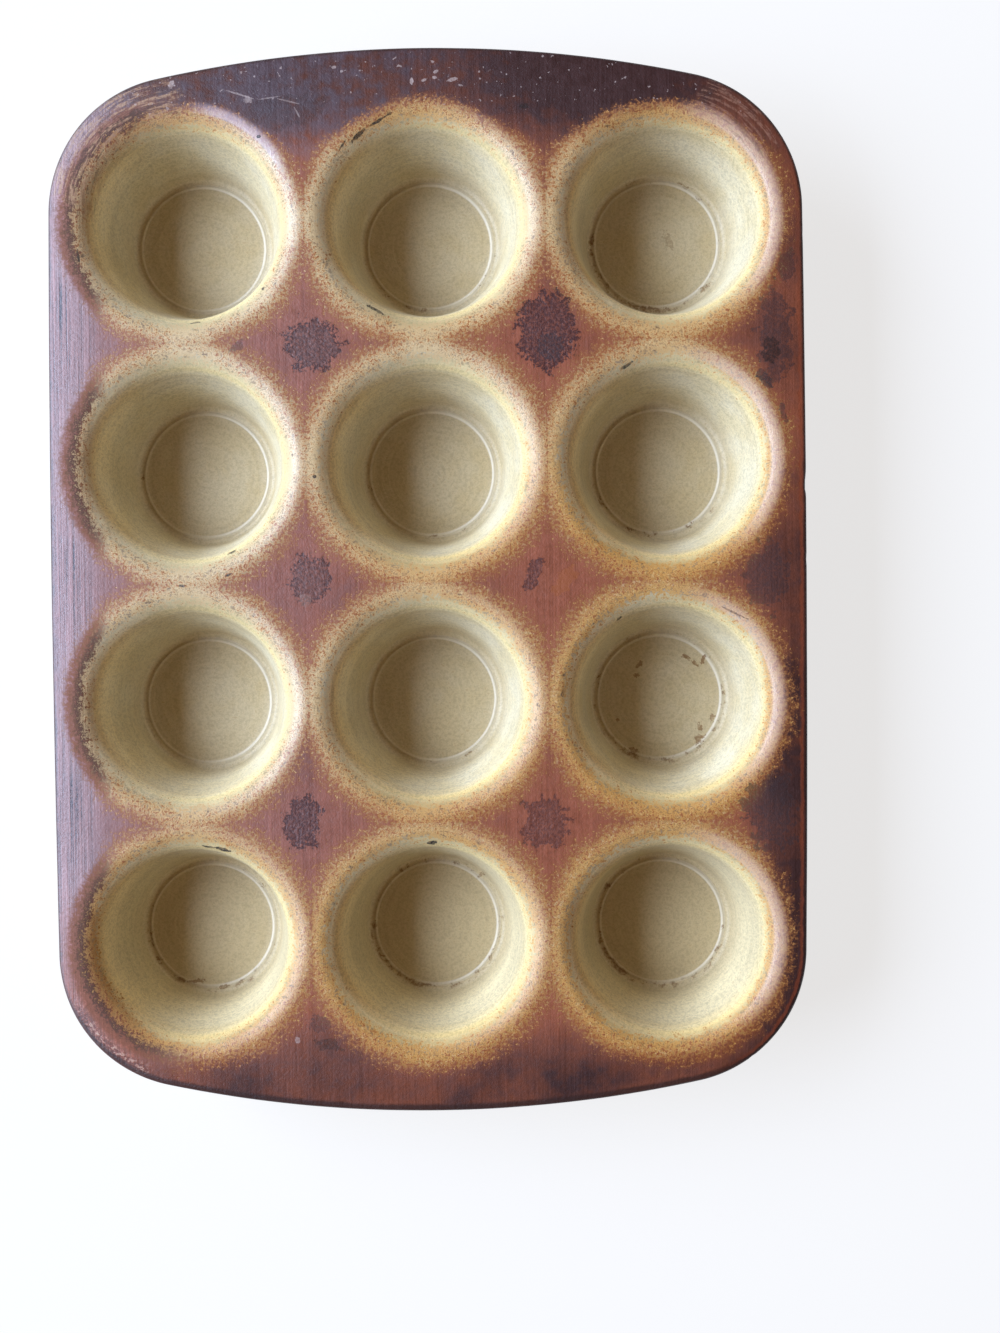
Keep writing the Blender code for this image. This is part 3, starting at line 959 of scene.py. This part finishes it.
    flaked = g.ramp(x, -102, -112) * g.ramp(y, -154, -164) * g.band(inset, 0.8, 1.8, 3.6, 6.8)
    flaking = (worn - 0.5) * 2 + lobes * 0.25 + grain * 0.55
    g.coat(flaked * g.ramp(flaking, 0.25, -0.3) * 0.7, (0.085, 0.03, 0.022))
    g.coat(flaked * g.ramp(flaking, 0.2, 0.65) * 0.75, (0.56, 0.39, 0.3))
    flecks = g.ramp(g.noise(place, 0.6, 1.5, 0.6), 0.69, 0.72) * g.ramp(y, 168, 182)
    g.coat(flecks * 0.5, CHALK)

    # The rim's edge: darker where it rolls over, partly dark seasoning and partly painted shade
    edge = g.ramp(inset + mid * 1.5 + g.ramp(y, -150, -180, 0, -1.6), 0.4, 1.9, 1, 0)
    rim_side = g.ramp(z, 43.6, 42.6)
    g.coat(edge * 0.85, g.mix(rim_side, (0.03, 0.012, 0.01), (0.082, 0.024, 0.015)))
    # A red line inside the right edge: partly thinner, worn patina and partly a painted highlight
    red_wear_and_highlight = g.band(inset + mid * 2, 1.4, 1.9, 2.4, 3.4) * g.ramp(x, 100, 128)
    red_wear_and_highlight *= g.ramp(y, 140, 60, 0.15, 0.52)
    g.coat(red_wear_and_highlight, (0.26, 0.052, 0.015))

    # Painted warm bounce light on the lips' lower sides, and bare clay underneath
    bare_share = under * g.ramp(inset + mid * 14 + grain * 0.6, 5, 11)
    painted_lip_warmth = cup["Warm"] * g.ramp(distance, 37, 40) * g.ramp(distance, 50, 46) * (1 - under)
    g.coat(painted_lip_warmth, PAINTED_WARM_TINT, "MULTIPLY")
    g.coat(bare_share, bare["Colour"])

    # Gloss and fine relief
    rough = g.between(clean, 0.44 + mid * 0.25 + brush * 0.2, 0.55)
    rough = g.between(scorch_and_shade * g.band(distance, 36, 38, 46, 49), rough, 0.85)
    rough = g.between(bare_share, rough, 0.8)
    rough = g.between(rim_side, rough, 0.75)
    height = lines * 0.5 + grain * 0.22 + mid + crusty * lobes * 0.9
    height = g.between(clean, height, clay["Height"])
    height = g.between(bare_share, height, bare["Height"])
    dress(g, shader, rough, height, 0.35)
    g.feed(shader, {"IOR": 1.58, "Specular IOR Level": 0.6, "Specular Tint": (0.8, 0.9, 1)})
    return material


# Crumbs and stains baked on the cups' floors: X, Y, half width, half length, turn, broken, strength
CRUMBS = (
    (101.2, -29.2, 2.4, 0.9, -38, 0.55, 0.95),
    (104.4, -31.6, 1.9, 0.7, -38, 0.55, 0.9),
    (107.9, -30.7, 0.9, 1.8, -20, 0.6, 0.9),
    (82.5, -32, 1, 1.9, -40, 0.7, 0.8),
    (81, -36.5, 1.6, 0.9, 10, 0.7, 0.75),
    (73.6, -54.4, 0.7, 0.6, 0, 0.5, 0.8),
    (106.5, -57, 1.3, 1.7, 20, 1, 0.8),
    (106.1, -62.5, 1.6, 2, -20, 1, 0.8),
    (111.5, -54, 0.9, 1.8, 0, 1, 0.7),
    (80, -66.5, 1.9, 0.8, -30, 1, 0.8),
    (95.2, 137.4, 1.2, 3.4, 20, 1, 0.35),
    (17.5, -116.3, 2, 0.9, 40, 0.9, 0.65),
    (-97, -158, 3.4, 0.8, 0, 1, 0.8),
    (-86, -160.5, 2.6, 0.6, 8, 1, 0.75),
)


def cup_material():
    """Cups: cream inside with a tanner floor, a pale ring and baked crust, toasted clay outside."""
    material, g, shader = new_material("fired cup")
    place, cup, noises, clay, bare = clay_parts(g)
    z = g.split(place)[2]
    distance = cup["Distance"]
    side_x, side_y, _ = g.split(cup["Side"])
    outside, crust = attribute(g, "outside"), attribute(g, "crust")
    grain, mid, _, lobes = noises.values()

    floor = g.ramp(distance, 25.4, 24.4) * g.ramp(z, 12, 10)
    g.colour = clay["Colour"]
    g.coat(floor, (0.85, 0.825, 0.78), "MULTIPLY")
    tan = g.ramp(z + mid * 12, 9, 26, 0.3, 0)
    g.coat(tan, (0.5, 0.37, 0.2))
    # A pale ring round the floor, made stronger on the right as a painted highlight
    pale = g.band(distance, 23.7, 24.3, 25.4, 26) * g.ramp(z, 12, 10.5)
    g.coat(pale * g.ramp(side_x, -0.5, 0.7, 0.12, 0.6), (0.8, 0.75, 0.62))

    # Crust along the floor ring, dots up the wall, and the single crumbs
    along = g.noise(cup["Round"], 0.16, 3, 0.75)
    low = g.ramp(side_y + side_x * 0.4, 0.7, -0.9, -0.04, 0.07)
    pieces = g.ramp(along + crust * 0.24 + low + mid * 0.3 + grain * 0.02, 0.7, 0.77)
    ring = g.band(distance + mid * 4, 24.4, 25.3, 26.3, 27.6) * g.ramp(z, 14, 11)
    baked = pieces * ring * g.ramp(grain, 1.2, -0.6, 0.25, 0.8)
    dots = g.ramp(lobes + crust * 0.25, 1.02, 1.2) * g.ramp(z, 22, 12) * g.ramp(crust, 0.1, 0.8)
    baked = g.larger(baked, dots * 0.6)
    for cx, cy, half_x, half_y, turn, broken, strength in CRUMBS:
        centre = (cx, cy, FLOOR_LEVEL)
        ragged = lobes * broken + grain * 0.25
        spot = ragged_spot(g, place, centre, (half_x, half_y), turn, ragged)["Mask"]
        baked = g.larger(baked, spot * g.ramp(grain, 1.4, -0.4, 0.5, 1) * strength)
    baked *= 1 - outside
    g.coat(baked * 0.9, (0.21, 0.1, 0.028))

    # Outside, browner under the deck, with a darker and chipped foot
    shell = g.mix(g.ramp(z + mid * 16, 26, 38, 0, 0.75), bare["Colour"], (0.2, 0.085, 0.04))
    foot = g.band(z + mid * 3, 0.2, 1, 2, 4)
    shell = g.mix(foot * 0.45, shell, (0.2, 0.09, 0.035))
    chipped = g.ramp(mid + grain * 0.05, 0.16, 0.2) * g.ramp(z, 3, 1.5)
    shell = g.mix(chipped, shell, (0.8, 0.74, 0.62))
    g.coat(outside, shell)

    # Gloss and fine relief
    rough = g.between(outside, 0.47 + mid * 0.2 + baked * 0.3, 0.72)
    height = clay["Height"] + baked * 1.8 + mid * 0.8
    height = g.between(outside, height, bare["Height"] + mid * 1.2)
    dress(g, shader, rough, height, 0.3)
    g.feed(shader, {"IOR": 1.5})
    return material


def make_groups(finish):
    """Makes the node groups that both finishes use, once."""
    if "cup place" not in bpy.data.node_groups:
        cup_place_group()
        clay_grain_group()
        ragged_spot_group()
        cream_group(finish)
        toasted_group(finish)


# Studio and operators

FLOOR_HALF, FLOOR_GAP = 4.0, 0.0002
WINDOW_SIZE = (1.57, 2.6)
WINDOW_PLACE = (-1.8, 0.4, 1.515)
CAMERA_PLACE = (0.02765, -0.02353, 0.55143)
CAMERA_TURN = tuple(math.radians(angle) for angle in (-0.9388, 0.1258, -0.5525))
WHITE = (1.0, 1.0, 1.0)


class OBJECT_OT_pan_deck(bpy.types.Operator):
    """Build the seasoned deck with its twelve lips"""

    bl_idname = "object.pan_deck"
    bl_label = "Deck"

    def execute(self, context):
        scene = context.scene
        make_groups(scene.pan_finish)
        material = deck_material(scene.pan_finish)
        piece = finished(deck_mesh(scene.pan_shape), "seasoned_deck", material)
        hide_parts("deck")
        return {"FINISHED"}


class OBJECT_OT_pan_cups(bpy.types.Operator):
    """Build the twelve fired cups under the deck"""

    bl_idname = "object.pan_cups"
    bl_label = "Cups"

    def execute(self, context):
        scene = context.scene
        make_groups(scene.pan_finish)
        material = cup_material()
        for row, column in CUPS:
            name = cup_name(row, column)
            bm = cup_mesh(scene.pan_shape, row, column)
            piece = finished(bm, f"fired_{name}", material)
            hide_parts(name)
        return {"FINISHED"}


class OBJECT_OT_pan_stage(bpy.types.Operator):
    """Set the floor, the window light, the room's fill and the camera"""

    bl_idname = "object.pan_stage"
    bl_label = "Stage"

    def execute(self, context):
        scene = context.scene
        light = scene.pan_light
        self.floor(scene.pan_finish)
        self.window(light)
        self.room(light)
        self.camera(light)
        scene.view_settings.view_transform = "Standard"
        return {"FINISHED"}

    def floor(self, finish):
        bm = bmesh.new()
        bmesh.ops.create_grid(bm, x_segments=1, y_segments=1, size=FLOOR_HALF)
        bmesh.ops.translate(bm, verts=bm.verts[:], vec=(0.0, 0.0, -FLOOR_GAP))
        mesh = bpy.data.meshes.new("studio_floor")
        bm.to_mesh(mesh)
        bm.free()
        material, g, shader = new_material("pale floor")
        g.feed(shader, {"Base Color": finish.ground, "Roughness": 0.9, "Specular IOR Level": 0})
        lit = g.feed(g.add("ShaderNodeEmission"), {"Color": WHITE})
        path = g.add("ShaderNodeLightPath").outputs
        seen = g.larger(path["Is Camera Ray"], path["Is Glossy Ray"])
        seen = g.larger(seen, path["Is Transmission Ray"])
        far = g.vector("LENGTH", g.add("ShaderNodeTexCoord").outputs["Object"], output="Value")
        share = seen * g.ramp(far, 0.6, 1.8, 0.75, 1)
        blended(g, share, shader, lit, "Material Output")
        mesh.materials.append(material)
        piece = added("studio_floor", mesh)

    def window(self, light):
        lamp = bpy.data.lights.new("window", "AREA")
        lamp.shape = "RECTANGLE"
        lamp.size, lamp.size_y = WINDOW_SIZE
        lamp.energy = light.window_power
        lamp.color = light.window_tint
        item = added("window", lamp)
        item.location = WINDOW_PLACE
        item.rotation_euler = (0.0, -math.pi / 2, 0.0)

    def room(self, light):
        world = bpy.data.worlds.new("room")
        world.use_nodes = True
        bpy.context.scene.world = world
        g = Graph(world.node_tree)
        fill = world.node_tree.nodes["Background"]
        g.feed(fill, {"Color": light.room_tint, "Strength": light.room_strength})
        plain = g.feed(g.add("ShaderNodeBackground"), {"Color": WHITE})
        seen = g.add("ShaderNodeLightPath").outputs["Is Camera Ray"]
        blended(g, seen, fill, plain, "World Output")

    def camera(self, light):
        lens = bpy.data.cameras.new("camera")
        lens.sensor_fit = "AUTO"
        lens.sensor_width = 36.0
        lens.lens = light.focal_length
        lens.clip_start, lens.clip_end = 0.01, 20.0
        item = added("camera", lens)
        item.location = CAMERA_PLACE
        item.rotation_euler = CAMERA_TURN
        bpy.context.scene.camera = item


class VIEW3D_PT_muffin_pan(bpy.types.Panel):
    bl_label = "Muffin pan"
    bl_space_type = "VIEW_3D"
    bl_region_type = "UI"
    bl_category = "Muffin pan"

    def draw(self, context):
        for operator in PIECES:
            self.layout.operator(operator.bl_idname)
        for group in (context.scene.pan_shape, context.scene.pan_finish, context.scene.pan_light):
            box = self.layout.box()
            for name in group.bl_rna.properties.keys():
                if name not in ("rna_type", "name"):
                    box.prop(group, name)


PIECES = (OBJECT_OT_pan_deck, OBJECT_OT_pan_cups, OBJECT_OT_pan_stage)
SETTINGS = {"pan_shape": PanShape, "pan_finish": PanFinish, "pan_light": StudioLight}


def register():
    for item in (*SETTINGS.values(), *PIECES, VIEW3D_PT_muffin_pan):
        bpy.utils.register_class(item)
    for name, group in SETTINGS.items():
        setattr(bpy.types.Scene, name, PointerProperty(type=group))


def unregister():
    for name in SETTINGS:
        delattr(bpy.types.Scene, name)
    for item in (VIEW3D_PT_muffin_pan, *PIECES, *SETTINGS.values()):
        bpy.utils.unregister_class(item)


def main():
    register()
    bpy.ops.object.pan_deck()
    bpy.ops.object.pan_cups()
    bpy.ops.object.pan_stage()


if __name__ == "__main__":
    main()
